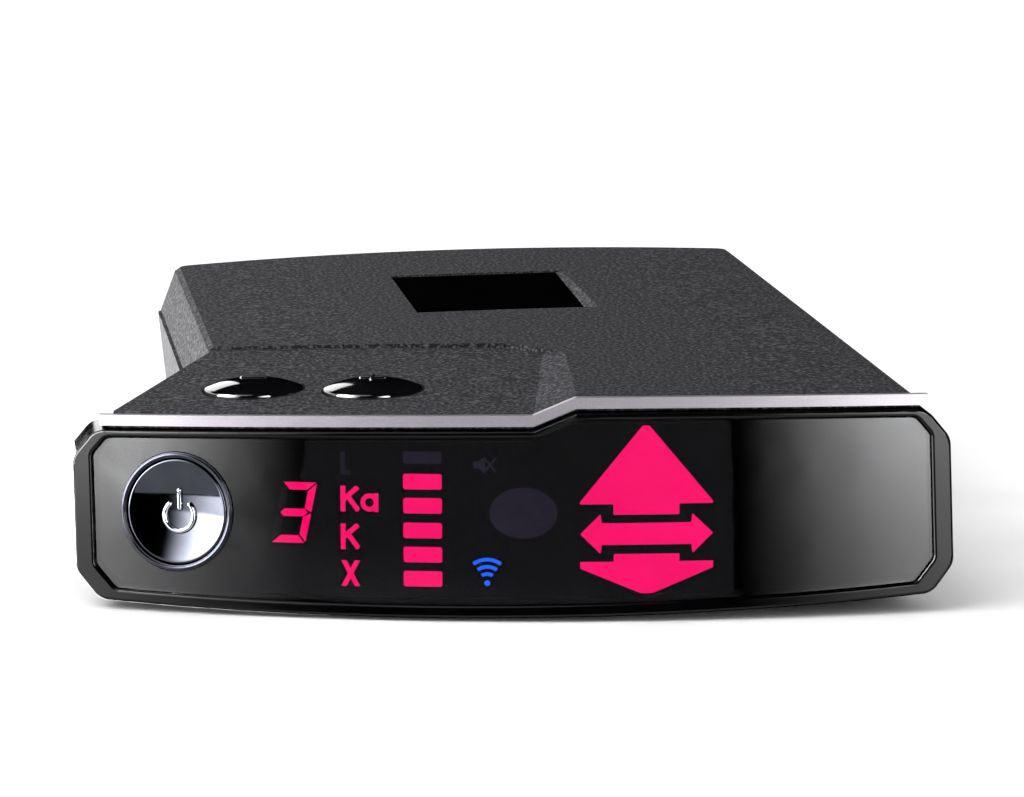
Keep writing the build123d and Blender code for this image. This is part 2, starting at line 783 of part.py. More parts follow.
def arrow_side():
    z = 8.82
    head = (4.75, 2.05)
    shaft = 1.13
    points = [(arrow_half, 0), (head[0], head[1]), (head[0] - 0.15, shaft), (-head[0] + 0.15, shaft),
              (-head[0], head[1]), (-arrow_half, 0), (-head[0], -head[1]), (-head[0] + 0.15, -shaft),
              (head[0] - 0.15, -shaft), (head[0], -head[1])]
    return make_face(Polyline(*[(arrow_s + s, z + dz) for s, dz in points], close=True))


def arrow_behind():
    half = 3.38
    points = [(-half, 6.75), (half, 6.75), (half, 5.95), (arrow_half, 5.95), (arrow_half, 5.25),
              (0.6, 2.66), (-0.6, 2.66), (-arrow_half, 5.25), (-arrow_half, 5.95), (-half, 5.95)]
    return make_face(Polyline(*[(arrow_s + s, z) for s, z in points], close=True))


def speaker_icon():
    s, z = -3.5, 16.0
    points = [(0, -0.4), (0.55, -0.4), (1.25, -0.95), (1.25, 0.95), (0.55, 0.4), (0, 0.4)]
    horn = make_face(Polyline(*[(s + a, z + b) for a, b in points], close=True))
    stroke_out = Pos(s + 1.75, z) * Rot(0, 0, 50) * Rectangle(1.9, 0.24)
    stroke_back = Pos(s + 1.75, z) * Rot(0, 0, -50) * Rectangle(1.9, 0.24)
    return [horn, stroke_out + stroke_back]


def wireless_icon():
    """Three rising waves over a dot, a plain sign for a radio link."""
    s, z = -2.1, 3.75
    pieces = [Pos(s, z) * Circle(0.3)]
    wedge = make_face(Polyline((s, z), (s - 2.6, z + 3.6), (s + 2.6, z + 3.6), close=True))
    for radius in (0.95, 1.7, 2.45):
        pieces.append((Pos(s, z) * (Circle(radius + 0.19) - Circle(radius - 0.19))) & wedge)
    return pieces


def strength_bar(z, height):
    """Bar of the strength column, with its corners cut."""
    a = bar_size[0] / 2
    b = height / 2
    cut = 0.16
    outline = [(-a + cut, -b), (a - cut, -b), (a, -b + cut), (a, b - cut),
               (a - cut, b), (-a + cut, b), (-a, b - cut), (-a, -b + cut)]
    return make_face(Polyline(*[(bar_s + s, z + dz) for s, dz in outline], close=True))


glyphs = {
    "counter_digit_lit": [segment(n) for n in ("top", "upper_right", "middle", "lower_right", "bottom")],
    "counter_digit_unlit": [segment(n) for n in ("upper_left", "lower_left")],
    "band_legend_ka": [letter_k(letter_s, 11.0, letter_height), letter_a(letter_s + 2.35, 11.0)],
    "band_legend_k": [letter_k(letter_s, 7.07, letter_height)],
    "band_legend_x": [letter_x(letter_s, 3.24, letter_height)],
    "band_legend_l": [letter_l(letter_s, 14.84, 2.43)],
    "strength_bars_lit": [strength_bar(z, bar_size[1]) for z in bar_z],
    "strength_bar_unlit": [strength_bar(*spare_bar)],
    "mute_icon": speaker_icon(),
    "wireless_icon": wireless_icon(),
    "light_sensor_window": [Pos(1.7, 11.03) * Ellipse(3.55, 2.65)],
    "arrow_ahead": [arrow_ahead()],
    "arrow_side": [arrow_side()],
    "arrow_behind": [arrow_behind()],
}
mask = mask_blank & face_layer(mask_front, mask_back)
mask -= on_power(power_outer + fit, -6, 12)
for name, sketches in glyphs.items():
    solids = []
    for sketch in sketches:
        mask -= extrude(face_plane * sketch, amount=25, both=True)
        solids.extend(on_face(sketch, mask_front, glyph_back).solids())
    emit(name, one_node(solids))
emit("display_mask", mask)

# ---------------------------------------------------------------- light box and display board
board_front = 4.8
board_span = (-38.0, 24.0)
board_z = (4.4, 16.4)
box_span = (-26.6, 23.0)


def upright_box(s, z, near, far):
    """Box square to the face's chord: span along it, heights, and depths behind it."""
    centre = chord_point((s[0] + s[1]) / 2, (near + far) / 2, (z[0] + z[1]) / 2)
    block = Box(s[1] - s[0], far - near, z[1] - z[0])
    return Pos(*centre) * Rot(0, 0, -face_turn) * block


pockets = [((-25.6, -19.4), (7.0, 14.6)), ((-3.9, -0.9), (14.6, 17.3)), ((-4.3, 0.1), (3.2, 7.2)),
           ((-2.2, 5.6), (8.1, 13.9)), ((7.2, 21.6), (11.35, 20.3)), ((7.2, 21.6), (7.0, 10.6)),
           ((7.2, 21.6), (2.4, 6.3))]
pockets += [((-17.9, -13.1), (z, z + 2.9)) for z in (3.1, 6.95, 10.85, 14.7)]
pockets += [((bar_s - 2.25, bar_s + 2.25), (z - 1.0, z + 1.0)) for z in (*bar_z, spare_bar[0])]
light_box = mask_blank & face_layer(glyph_back + fit, 30)
light_box = light_box & upright_box(box_span, (-5, 30), -20, board_front - fit)
light_box -= face_layer(bezel_depth - fit, 40) & between(pad_under_z - 1.3, case_height)
for span, heights in pockets:
    light_box -= upright_box(span, heights, -30, 30)
emit("light_box", light_box)

display_board = upright_box(board_span, board_z, board_front, board_front + board_thickness)
emit("display_board", display_board)
led_places = [((a + b) / 2, (c + d) / 2) for (a, b), (c, d) in pockets]
leds = []
for s, z in led_places:
    z = min(z, board_z[1] - 0.35)
    leds.append(upright_box((s - 0.8, s + 0.8), (z - 0.3, z + 0.3), board_front - 0.7, board_front))
emit("display_leds", one_node(leds))


# ---------------------------------------------------------------- volume buttons
def volume_button(place):
    """Domed round button with a flange below the pad's skin."""
    x, y = place
    rim_z = pad_floor_z[place] + volume_proud
    cap = rod(x, y, pad_under_z - 0.6, rim_z, volume_radius)
    dome_radius = (volume_radius ** 2 + volume_dome ** 2) / (2 * volume_dome)
    dome = Pos(x, y, rim_z + volume_dome - dome_radius) * Sphere(dome_radius)
    cap += dome & rod(x, y, rim_z - 0.1, rim_z + volume_dome + 1, volume_radius)
    return cap + rod(x, y, pad_under_z - 1.0, pad_under_z - 0.1, volume_radius + 0.5)


for name, place in (("volume_down", volume_down_at), ("volume_up", volume_up_at)):
    x, y = place
    emit(f"{name}_button", volume_button(place))
    emit(f"{name}_plunger", rod(x, y, pad_under_z - 1.8, pad_under_z - 1.0, 1.0))
    switch = slot(x, y, pad_board_top, pad_under_z - 1.9, 5.2, 5.2)
    switch -= rod(x, y, pad_board_top + 0.8, 30, 1.15)
    emit(f"{name}_switch", switch)
pad_board = pad_frame * slot(1.4, 3.6, pad_board_top - 1.0, pad_board_top, 21.4, 15)
for x, y in pad_posts:
    pad_board -= rod(x, y, 0, 30, small_screw + fit)
for x, y in screw_places:
    pad_board -= rod(x, y, 0, 30, boss_radius + 0.4)
emit("volume_board", pad_board)

# ---------------------------------------------------------------- release lever
pin_axis = Pos(lever_x, lever_pivot_y, lever_pivot_z) * Rot(0, 90, 0)
lever_plate_z = lever_pivot_z - lever_thickness / 2
lever = slot(lever_x, lever_pivot_y + lever_length / 2, lever_plate_z, lever_plate_z + lever_thickness,
             lever_width, lever_length)
lever += pin_axis * Cylinder(1.9, lever_width)
for rib in range(4):
    lever += slot(lever_x, lever_pivot_y + 7.5 + 2.2 * rib, lever_plate_z - 0.9, lever_plate_z + 0.1,
                  lever_width - 2, 1.1)
tooth_y = lever_pivot_y + lever_length - 1.5
lever += slot(lever_x, tooth_y, lever_plate_z - 1.5, lever_plate_z + 0.1, lever_width - 3, 3.0)
lever -= pin_axis * Cylinder(lever_pin_radius + 0.05, lever_width + 4)
emit("mount_release_lever", lever)
emit("release_lever_pin", pin_axis * Cylinder(lever_pin_radius - 0.01, lever_width + 2 * floor))
spring_top = lever_swing_room
spring_base = lever_plate_z + lever_thickness
strip = 0.3
leaf_y = lever_pivot_y + 5.0
leaf = [(0, spring_top), (0, spring_top - strip), (3.0, spring_top - strip), (9.0, spring_base),
        (12.0, spring_base), (12.0, spring_base + strip), (9.2, spring_base + strip), (3.2, spring_top)]
leaf_face = Face(Wire.make_polygon([(lever_x - 2.5, leaf_y + y, z) for y, z in leaf]))
emit("release_spring", Solid.extrude(leaf_face, Vector(5, 0, 0)))

# ---------------------------------------------------------------- boards, receiver and sockets
board_edge = wall + 2.4
board_x = (left_x + board_edge - 1.5, right_x - board_edge + 1.5)
front_edge_y = -18.0
horn_size = (16.0, 29.0, 9.4)
horn_at = (left_x + 16.4, far_y - 19.0, 11.0)
rear_horn_size = (19.0, 23.0, 9.4)
rear_horn_at = (26.6, -31.9, 11.6)
inner_x = horn_at[0] + horn_size[0] / 2 + 1.0
step_y = horn_at[1] - horn_size[1] / 2 - 1.0
board_far_y = far_y - 12.0
board_faces = (main_board_z, main_board_z + board_thickness)
wide_middle = (sum(board_x) / 2, (front_edge_y + step_y) / 2)
main_board = slot(*wide_middle, *board_faces, board_x[1] - board_x[0], step_y - front_edge_y)
long_middle = ((inner_x + board_x[1]) / 2, (front_edge_y + board_far_y) / 2)
main_board += slot(*long_middle, *board_faces, board_x[1] - inner_x, board_far_y - front_edge_y)
for x, y in screw_places:
    main_board -= rod(x, y, 0, 30, boss_radius + 0.4)
for x, y in post_places:
    main_board -= rod(x, y, 0, 30, small_screw + fit)
phone_room = Box(40, 2 * phone_body + 0.6, 9, align=outward)
main_board -= Pos(phone_face_x - phone_length - 0.3, phone_y, phone_z) * phone_room
jack_room = Box(40, jack_size[1] + 0.6, 12, align=outward)
main_board -= Pos(socket_face_x - jack_size[0] - 0.3, jack_y, jack_z) * jack_room
emit("main_board", main_board)
board_top = main_board_z + board_thickness


def horn(size, at, way, shell=0.9):
    """Cast waveguide horn: a narrow throat that opens towards one end."""
    width, length, height = size
    outer = Box(width, length, height)
    mouth_y = way * length / 2
    throat_y = -way * (length / 2 - 4)
    mouth = Rectangle(width - 2 * shell, height - 2 * shell)
    throat = Rectangle(7.0, 3.4)
    cone = loft([Plane((0, mouth_y + way * 0.02, 0), x_dir=(1, 0, 0), z_dir=(0, -1, 0)) * mouth,
                 Plane((0, throat_y, 0), x_dir=(1, 0, 0), z_dir=(0, -1, 0)) * throat], ruled=True)
    return Pos(*at) * (outer - cone)


emit("front_antenna_horn", horn(horn_size, horn_at, 1))
emit("rear_antenna_horn", horn(rear_horn_size, rear_horn_at, -1))
emit("receiver_shield", slot(4.0, 2.0, board_top, board_top + 4.2, 22, 16))
emit("processor", slot(-16.0, 6.0, board_top, board_top + 1.2, 9, 9))
chip_places = [(-20.0, -8.0), (-8.5, -12.0), (19.0, -10.0), (30.0, 38.0)]
emit("chips", one_node([slot(x, y, board_top, board_top + 1.0, 5.0, 4.0) for x, y in chip_places]))
emit("wireless_module", slot(27.5, -9.0, board_top, board_top + 2.0, 8, 10))
sensor_z = top_z(window_at[0]) - roof - 5.5
sensor = slot(window_at[0], window_at[1], board_top, sensor_z, 9, 9)
sensor_dome = Pos(window_at[0], window_at[1], sensor_z) * Sphere(3.2)
sensor += sensor_dome & rod(window_at[0], window_at[1], sensor_z - 0.1, sensor_z + 4, 3.2)
emit("top_laser_sensor", sensor)
laser_x = (17.0, 27.0)
lens_y = far_y - 1.0
laser_z = 11.5
laser = [Pos(x, lens_y, laser_z) * Rot(90, 0, 0) * Cylinder(3.6, 1.6) for x in laser_x]
emit("front_laser_lenses", one_node(laser))
laser_block = Pos(sum(laser_x) / 2, lens_y - 4.4, laser_z) * Box(19, 7.0, 8.0)
for x in laser_x:
    laser_block -= Pos(x, lens_y - 3.4, laser_z) * Rot(90, 0, 0) * Cylinder(3.1, 7.0)
emit("laser_lens_holder", laser_block)

# ---------------------------------------------------------------- speaker and sockets
speaker_base = floor + 0.2
speaker = rod(*speaker_at, speaker_base, speaker_base + 1.4, speaker_radius)
speaker -= rod(*speaker_at, speaker_base - 1, speaker_base + 0.9, speaker_radius - 1.0)
speaker += rod(*speaker_at, speaker_base + 1.3, speaker_base + 4.0, speaker_radius * 0.55)
emit("speaker", speaker)
cone_low = speaker_radius - 1.2
cone = Pos(*speaker_at, speaker_base + 0.5) * Cone(cone_low, cone_low * 0.4, 0.35)
emit("speaker_cone", cone)

jack_at = Pos(socket_face_x - jack_size[0] / 2, jack_y, jack_z)
hole_at = Pos(socket_face_x - jack_depth / 2 + 0.01, jack_y, jack_z)
jack = jack_at * Box(*jack_size) - hole_at * Box(jack_depth, *jack_hole)
latch_notch = Pos(socket_face_x - 3.0, jack_y, jack_z - jack_hole[1] / 2) * Box(6.1, 3.4, 1.6)
emit("power_jack", jack - latch_notch)
contacts = []
contact_x = socket_face_x - jack_depth + 4.0
for place in range(4):
    y = jack_y + (place - 1.5) * 1.27
    contacts.append(Pos(contact_x, y, jack_z + jack_hole[1] / 2 - 0.5) * Box(7.0, 0.5, 0.5))
emit("power_jack_contacts", one_node(contacts))
phone_at = Pos(phone_face_x, phone_y, phone_z) * Rot(0, -90, 0)
phone = phone_at * Cylinder(phone_body, phone_length, align=upward)
phone -= phone_at * Pos(0, 0, -1) * Cylinder(phone_bore, phone_length + 0.5, align=upward)
emit("earphone_jack", phone)

# ---------------------------------------------------------------- cable and screws
cable_s = -4.0
cable_top = main_board_z + board_thickness
cable_near = board_front + board_thickness
cable_end = front_edge_y - chord_y + 6.0
cable_z = 0.25
cable_high = cable_top + cable_z
outer_run = [(cable_near, 13.6), (cable_near, 14.6), (cable_near + 1.4, 14.6), (cable_end - 8.0, cable_high)]
end_run = [(cable_end, cable_high), (cable_end, cable_top), (cable_end - 8.1, cable_top)]
inner_run = [(cable_near + 1.2, 14.35), (cable_near + 0.25, 14.35), (cable_near + 0.25, 13.6)]
flat = outer_run + end_run + inner_run
cable_face = Face(Wire.make_polygon([chord_point(cable_s - 4.0, v, z) for v, z in flat]))
emit("display_cable", Solid.extrude(cable_face, chord_point(8.0, 0) - chord_point(0, 0)))


def screw(x, y, head_z, head, shank, length, way):
    """Pan-head screw with a cross recess; it points up for way 1 and down for way -1."""
    radius, height = head
    low = head_z - (height if way > 0 else 0)
    body = rod(x, y, low, low + height, radius)
    tip = (head_z, head_z + length) if way > 0 else (head_z - length, head_z)
    body += rod(x, y, tip[0] - 0.1, tip[1] + 0.1, shank)
    face_z = low if way > 0 else low + height
    for spin in (0, 90):
        body -= Pos(x, y, face_z) * Rot(0, 0, spin) * Box(radius * 1.1, radius * 0.28, height)
    return body


case_screws = [
    screw(x, y, screw_head[1] + 0.6, screw_head, screw_radius - 0.15, 11.0, 1)
    for x, y in screw_places
]
emit("case_screws", one_node(case_screws))
small_head = (1.7, 1.1)
small_shank = small_screw - 0.05
board_screws = [screw(x, y, board_top, small_head, small_shank, 4.5, -1) for x, y in post_places]
board_screws += [screw(x, y, pad_board_top - 1.0, small_head, small_shank, 2.8, 1) for x, y in pad_posts]
emit("board_screws", one_node(board_screws))
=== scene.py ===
"""Looks of a windscreen radar detector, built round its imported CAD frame.

Metres, +Z up. The display end is at -Y, and the origin is on the flat underside.
"""
import json
import logging
from dataclasses import dataclass, field
from enum import Enum
from math import cos, pi, radians, sin

import bmesh
import bpy
import numpy as np
from mathutils import Matrix, Vector


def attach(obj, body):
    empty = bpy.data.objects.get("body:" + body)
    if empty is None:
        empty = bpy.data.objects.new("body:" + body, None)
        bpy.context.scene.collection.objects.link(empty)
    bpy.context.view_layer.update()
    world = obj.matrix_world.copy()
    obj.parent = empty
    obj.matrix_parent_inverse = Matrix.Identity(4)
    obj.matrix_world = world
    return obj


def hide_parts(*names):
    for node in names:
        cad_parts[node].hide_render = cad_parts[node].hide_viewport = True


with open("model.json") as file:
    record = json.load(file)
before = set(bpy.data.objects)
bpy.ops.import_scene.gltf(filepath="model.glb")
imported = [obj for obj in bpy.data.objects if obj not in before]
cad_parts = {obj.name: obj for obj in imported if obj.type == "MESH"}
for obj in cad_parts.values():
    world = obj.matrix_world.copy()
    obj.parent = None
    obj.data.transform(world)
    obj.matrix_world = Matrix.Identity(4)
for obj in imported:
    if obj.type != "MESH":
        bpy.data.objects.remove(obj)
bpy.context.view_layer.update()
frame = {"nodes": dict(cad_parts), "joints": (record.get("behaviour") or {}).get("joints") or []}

MM = 0.001
CREASE = 0.05 * MM                                # rounding of an edge that is nearly sharp
PAD_SIGNS_UP = np.array((0.2216, 0.9751, 0.0))    # square to the face's chord, along the top
LOG = logging.getLogger("radar_detector")


# ------------------------------------------------------------------ nodes and colours
def linear(hex_code: str) -> tuple[float, float, float, float]:
    """Turn an sRGB hex colour to linear values.

    Args:
        hex_code: Colour as "#rrggbb".

    Returns:
        Linear red, green, blue and an alpha of 1.
    """
    srgb = [int(hex_code[i:i + 2], 16) / 255 for i in (1, 3, 5)]
    rgb = [c / 12.92 if c <= 0.04045 else ((c + 0.055) / 1.055) ** 2.4 for c in srgb]
    return (*rgb, 1.0)


def add_node(tree: bpy.types.NodeTree, kind: str, settings: dict | None = None,
             inputs: dict | None = None) -> bpy.types.Node:
    """Add a shader node with its settings, values and links.

    Args:
        tree: Node tree that takes the node.
        kind: Blender's type name of the node.
        settings: Properties of the node itself.
        inputs: Socket name to a value, or to the output socket that feeds it.

    Returns:
        The new node.
    """
    node = tree.nodes.new(kind)
    for key, value in (settings or {}).items():
        setattr(node, key, value)
    for key, value in (inputs or {}).items():
        if isinstance(value, bpy.types.NodeSocket):
            tree.links.new(value, node.inputs[key])
        else:
            node.inputs[key].default_value = value
    return node


class Pattern(Enum):
    """How a finish is broken up over its surface: stretch of the noise along X, Y and Z."""

    GRIT = (1.0, 1.0, 1.0)
    BRUSHED_X = (0.03, 1.0, 1.0)
    BRUSHED_Y = (1.0, 0.03, 1.0)


@dataclass(frozen=True)
class Finish:
    """A surface with a fine pattern in its colour, roughness and relief.

    The pattern is Perlin noise in object coordinates, whose scale is one over the grain's size.
    """

    name: str
    colour: str
    light: str
    roughness: tuple[float, float] = (0.4, 0.5)
    metallic: float = 0.0
    ior: float = 1.5
    grain_mm: float = 0.5
    relief_mm: float = 0.01
    detail: float = 2.0
    pattern: Pattern = Pattern.GRIT
    contrast: tuple[float, float] = (0.35, 0.65)
    coat: float = 0.0
    coat_roughness: float = 0.03
    specular: float = 0.5
    transmission: float = 0.0
    glow: str = ""
    glow_strength: float = 0.0

    def build(self) -> bpy.types.Material:
        """Make the node material.

        Returns:
            Material named for the finish.
        """
        found = bpy.data.materials.get(self.name)
        if found:
            return found
        material = bpy.data.materials.new(self.name)
        material.use_nodes = True
        tree = material.node_tree
        tree.nodes.clear()
        where = add_node(tree, "ShaderNodeTexCoord")
        turned = add_node(tree, "ShaderNodeMapping", inputs={
            "Vector": where.outputs["Object"], "Scale": self.pattern.value})
        noise = add_node(tree, "ShaderNodeTexNoise", inputs={
            "Vector": turned.outputs["Vector"], "Scale": 1 / (self.grain_mm * MM), "Detail": self.detail})
        # The same noise raises the bump, so the pale colour sits on the crests; in the powder coat this is a
        # painted highlight.
        ramp = add_node(tree, "ShaderNodeValToRGB", inputs={"Fac": noise.outputs["Fac"]})
        low, high = ramp.color_ramp.elements
        low.position, high.position = self.contrast
        low.color, high.color = linear(self.colour), linear(self.light)
        rough = add_node(tree, "ShaderNodeMapRange", inputs={
            "Value": noise.outputs["Fac"], "From Min": self.contrast[0], "From Max": self.contrast[1],
            "To Min": self.roughness[0], "To Max": self.roughness[1]})
        shader = add_node(tree, "ShaderNodeBsdfPrincipled", inputs={
            "Base Color": ramp.outputs["Color"], "Roughness": rough.outputs["Result"],
            "Metallic": self.metallic, "IOR": self.ior,
            "Specular IOR Level": self.specular, "Coat Weight": self.coat,
            "Coat Roughness": self.coat_roughness, "Transmission Weight": self.transmission})
        if self.relief_mm:
            bump = add_node(tree, "ShaderNodeBump", inputs={
                "Height": noise.outputs["Fac"], "Distance": self.relief_mm * MM, "Strength": 1.0})
            tree.links.new(bump.outputs["Normal"], shader.inputs["Normal"])
        if self.glow:
            shader.inputs["Emission Color"].default_value = linear(self.glow)
            shader.inputs["Emission Strength"].default_value = self.glow_strength
        add_node(tree, "ShaderNodeOutputMaterial", inputs={"Surface": shader.outputs["BSDF"]})
        return material


# Polyester powder coat on a light-metal casting: a dark grey, pebbled skin. Its crests are painted a paler
# grey, a painted highlight that stands for the light they catch.
POWDER_COAT_WITH_PAINTED_GLINTS = Finish("powder_coat_with_painted_glints", "#030304", "#48484d", (0.8, 0.62), grain_mm=0.42,
                     relief_mm=0.008, detail=1.5, contrast=(0.46, 0.74), specular=0.1)
# Satin silver lacquer over the moulded trim: a pale lilac grey with soft, smeared lights.
SATIN_SILVER = Finish("satin_silver_lacquer", "#827d85", "#8d8890", (0.3, 0.36), metallic=0.35,
                      grain_mm=0.12, relief_mm=0.001, specular=0.8)
# Piano black ABS, polished in the mould: near-black depth under a sharp mirror skin.
PIANO_BLACK = Finish("piano_black_abs", "#020203", "#040405", (0.08, 0.11), ior=1.53, grain_mm=6.0,
                     relief_mm=0.0, specular=0.16)
# Smoked acrylic: clear, dark-tinted and polished, so that only lit legends show through.
SMOKED_ACRYLIC = Finish("smoked_acrylic", "#7c7c82", "#808086", (0.02, 0.03), ior=1.49, grain_mm=8.0,
                        relief_mm=0.0, transmission=1.0)
# Dark bright plating on ABS: a thin mirror ring with a cool tint.
DARK_CHROME = Finish("dark_bright_plating", "#8f949c", "#a0a5ad", (0.07, 0.12), metallic=1.0,
                     grain_mm=2.0, relief_mm=0.0)
# The same plating on the ring round the key, darker still: a black seat and a thin bright bead.
RING_CHROME = Finish("black_ring_plating", "#34363b", "#3c3e44", (0.12, 0.18), metallic=1.0, grain_mm=2.0,
                     relief_mm=0.0)
# Black mirror plating on the round key: a deep reflection with a cold cast.
BLACK_CHROME = Finish("black_bright_plating", "#3a3c42", "#404249", (0.05, 0.08), metallic=1.0,
                      grain_mm=3.0, relief_mm=0.0)
# Polished polycarbonate key: black, wet-looking, with a clear coat.
KEY_GLOSS = Finish("polished_polycarbonate", "#08080a", "#0c0c0e", (0.06, 0.1), ior=1.58,
                   grain_mm=4.0, relief_mm=0.0, coat=0.5)
# Tinted polycarbonate window, polished: flat black with a crisp reflection.
WINDOW_GLOSS = Finish("tinted_window_polycarbonate", "#020203", "#030304", (0.1, 0.14), ior=1.58,
                      grain_mm=5.0, relief_mm=0.0, specular=0.3)
# Spark-eroded polycarbonate blend: the radar window's dull black skin.
RADOME = Finish("eroded_polycarbonate", "#101012", "#19191b", (0.42, 0.55), grain_mm=0.4, relief_mm=0.01)
# Moulded ABS with a fine spark-eroded texture: soft black.
BLACK_ABS = Finish("moulded_black_abs", "#111113", "#1b1b1d", (0.45, 0.6), grain_mm=0.35, relief_mm=0.012)
# White reflective polystyrene: the light box's walls.
WHITE_MOULDING = Finish("white_polystyrene", "#d7d7d4", "#e6e6e3", (0.5, 0.6), grain_mm=1.0, relief_mm=0.004)
# Screen-printed polyester film: dense black, barely glossy.
PRINTED_FILM = Finish("printed_polyester_film", "#020203", "#050506", (0.35, 0.45), grain_mm=0.3,
                      relief_mm=0.0, specular=0.04)
# Blank rating label: matte black polyester with a fine weave of print.
LABEL_FILM = Finish("blank_label_film", "#1c1c1f", "#26262a", (0.4, 0.5), grain_mm=0.2, relief_mm=0.002)
# Glass-epoxy board under green solder mask: slightly cloudy, glossy.
SOLDER_MASK = Finish("green_solder_mask", "#0d3b22", "#155232", (0.25, 0.4), grain_mm=1.2, relief_mm=0.01)
# Transfer-moulded epoxy: the dull charcoal of a chip.
CHIP_EPOXY = Finish("moulded_epoxy", "#1c1c1e", "#28282a", (0.55, 0.7), grain_mm=0.15, relief_mm=0.004)
# Tin-plated steel can: bright, lightly rolled.
TINPLATE = Finish("tinplate", "#b4b5b3", "#cfd0ce", (0.25, 0.4), metallic=1.0, grain_mm=0.3,
                  relief_mm=0.002, pattern=Pattern.BRUSHED_Y)
# Zinc die casting: pale, dull metal with a fine sand skin.
CAST_ZINC = Finish("cast_zinc", "#8e9092", "#a9abad", (0.45, 0.6), metallic=1.0, grain_mm=0.5,
                   relief_mm=0.015)
# Spring and pin steel: cold grey, drawn along its length.
DRAWN_STEEL = Finish("drawn_steel", "#8b8d90", "#a6a8ab", (0.22, 0.35), metallic=1.0, grain_mm=0.12,
                     relief_mm=0.002, pattern=Pattern.BRUSHED_X)
# Blackened steel screw: dark oxide with worn lights.
BLACK_OXIDE = Finish("black_oxide_steel", "#1b1c1e", "#34363a", (0.3, 0.5), metallic=0.8, grain_mm=0.4,
                     relief_mm=0.004)
# Gold-flashed phosphor bronze contacts.
GOLD_FLASH = Finish("gold_flashed_bronze", "#c79a3e", "#e0b85c", (0.2, 0.3), metallic=1.0, grain_mm=0.2,
                    relief_mm=0.001)
# Polyimide flexible circuit: amber film.
POLYIMIDE = Finish("polyimide_film", "#8a4a14", "#a8621f", (0.3, 0.4), grain_mm=0.5, relief_mm=0.003)
# Pressed paper cone: soft black fibre.
PAPER_CONE = Finish("pressed_paper", "#17171a", "#2a2a2e", (0.8, 0.9), grain_mm=0.4, relief_mm=0.03)
# Optical-grade acrylic lens: clear with a faint blue coat.
CLEAR_OPTIC = Finish("clear_optic_acrylic", "#e2e6ee", "#eceff5", (0.02, 0.04), ior=1.49, grain_mm=3.0,
                     relief_mm=0.0004, transmission=1.0)
# Smooth card on the studio's table: plain, pale and matte.
PALE_FLOOR = Finish("pale_studio_floor", "#f2f2f2", "#f6f6f6", (0.6, 0.7), grain_mm=20.0, relief_mm=0.0)
# Cream LED package.
LED_PACKAGE = Finish("led_package", "#d9d3bd", "#e8e3d0", (0.4, 0.5), grain_mm=0.3, relief_mm=0.002)


class Lamp(Enum):
    """State of a legend: its finish's colours, and the strength of its glow.

    A legend is an opal acrylic diffuser, whose grain is too fine to show and is drawn at 0.6 mm. Lit legends
    glow as the display's lamps; the faint glow on unlit and dark legends is painted, since no lamp lights
    them.
    """

    RED = ("opal_acrylic_lit_red", "#b0001c", "#c00024", "#ff0068", 4.6)
    BLUE = ("opal_acrylic_lit_blue", "#0a3cc0", "#1046d0", "#1f6bff", 4.2)
    # Unlit legend: a faint painted glow, though no lamp lights it.
    DIM = ("opal_acrylic_unlit_painted_glow", "#4a3f58", "#544862", "#3a3048", 0.28)
    # Dark legend: a fainter painted glow still, though no lamp lights it.
    DARK = ("opal_acrylic_dark_painted_glow", "#141018", "#18131c", "#0c0a10", 0.02)

    def finish(self) -> Finish:
        """Finish of a legend in this state."""
        name, colour, light, glow, strength = self.value
        return Finish(name, colour, light, (0.4, 0.5), grain_mm=0.6, relief_mm=0.001, glow=glow,
                      glow_strength=strength)


# ------------------------------------------------------------------ meshes
@dataclass
class Place:
    """Axis of a round piece: a point on it, and unit vectors to the right, up and outwards."""

    origin: np.ndarray
    right: np.ndarray
    up: np.ndarray
    out: np.ndarray

    @classmethod
    def on_node(cls, node: str, out: np.ndarray, up: np.ndarray) -> "Place":
        """Middle of a round CAD node, seen along its axis.

        Args:
            node: CAD node's name.
            out: Direction of the axis, outwards.
            up: Any direction that is up in the view along the axis.

        Returns:
            Place whose origin is at the node's outermost level on its axis.
        """
        out = out / np.linalg.norm(out)
        right = np.cross(up, out)
        right = right / np.linalg.norm(right)
        up = np.cross(out, right)
        points = node_points(node)
        spans = [points @ axis for axis in (right, up, out)]
        middle = [(s.min() + s.max()) / 2 for s in spans[:2]]
        origin = right * middle[0] + up * middle[1] + out * spans[2].max()
        return cls(origin, right, up, out)

    def at(self, across: np.ndarray, high: np.ndarray, outward: np.ndarray) -> np.ndarray:
        """Points in the frame from distances to the right, up and outwards."""
        parts = np.stack([across, high, outward], axis=-1)
        return self.origin + parts @ np.stack([self.right, self.up, self.out])


def node_points(node: str) -> np.ndarray:
    """Vertices of a CAD node at rest, as rows of X, Y and Z."""
    mesh = frame["nodes"][node].data
    flat = np.zeros(len(mesh.vertices) * 3, np.float32)
    mesh.vertices.foreach_get("co", flat)
    return flat.reshape(-1, 3).astype(float)


def reach(node: str, place: Place) -> tuple[float, float, float]:
    """Radius of a round node, and its lowest and highest levels from a place's origin.

    Args:
        node: CAD node's name.
        place: Axis to measure from.

    Returns:
        Radius, low level and high level.
    """
    offset = node_points(node) - place.origin
    level = offset @ place.out
    radius = np.hypot(offset @ place.right, offset @ place.up)
    return float(radius.max()), float(level.min()), float(level.max())


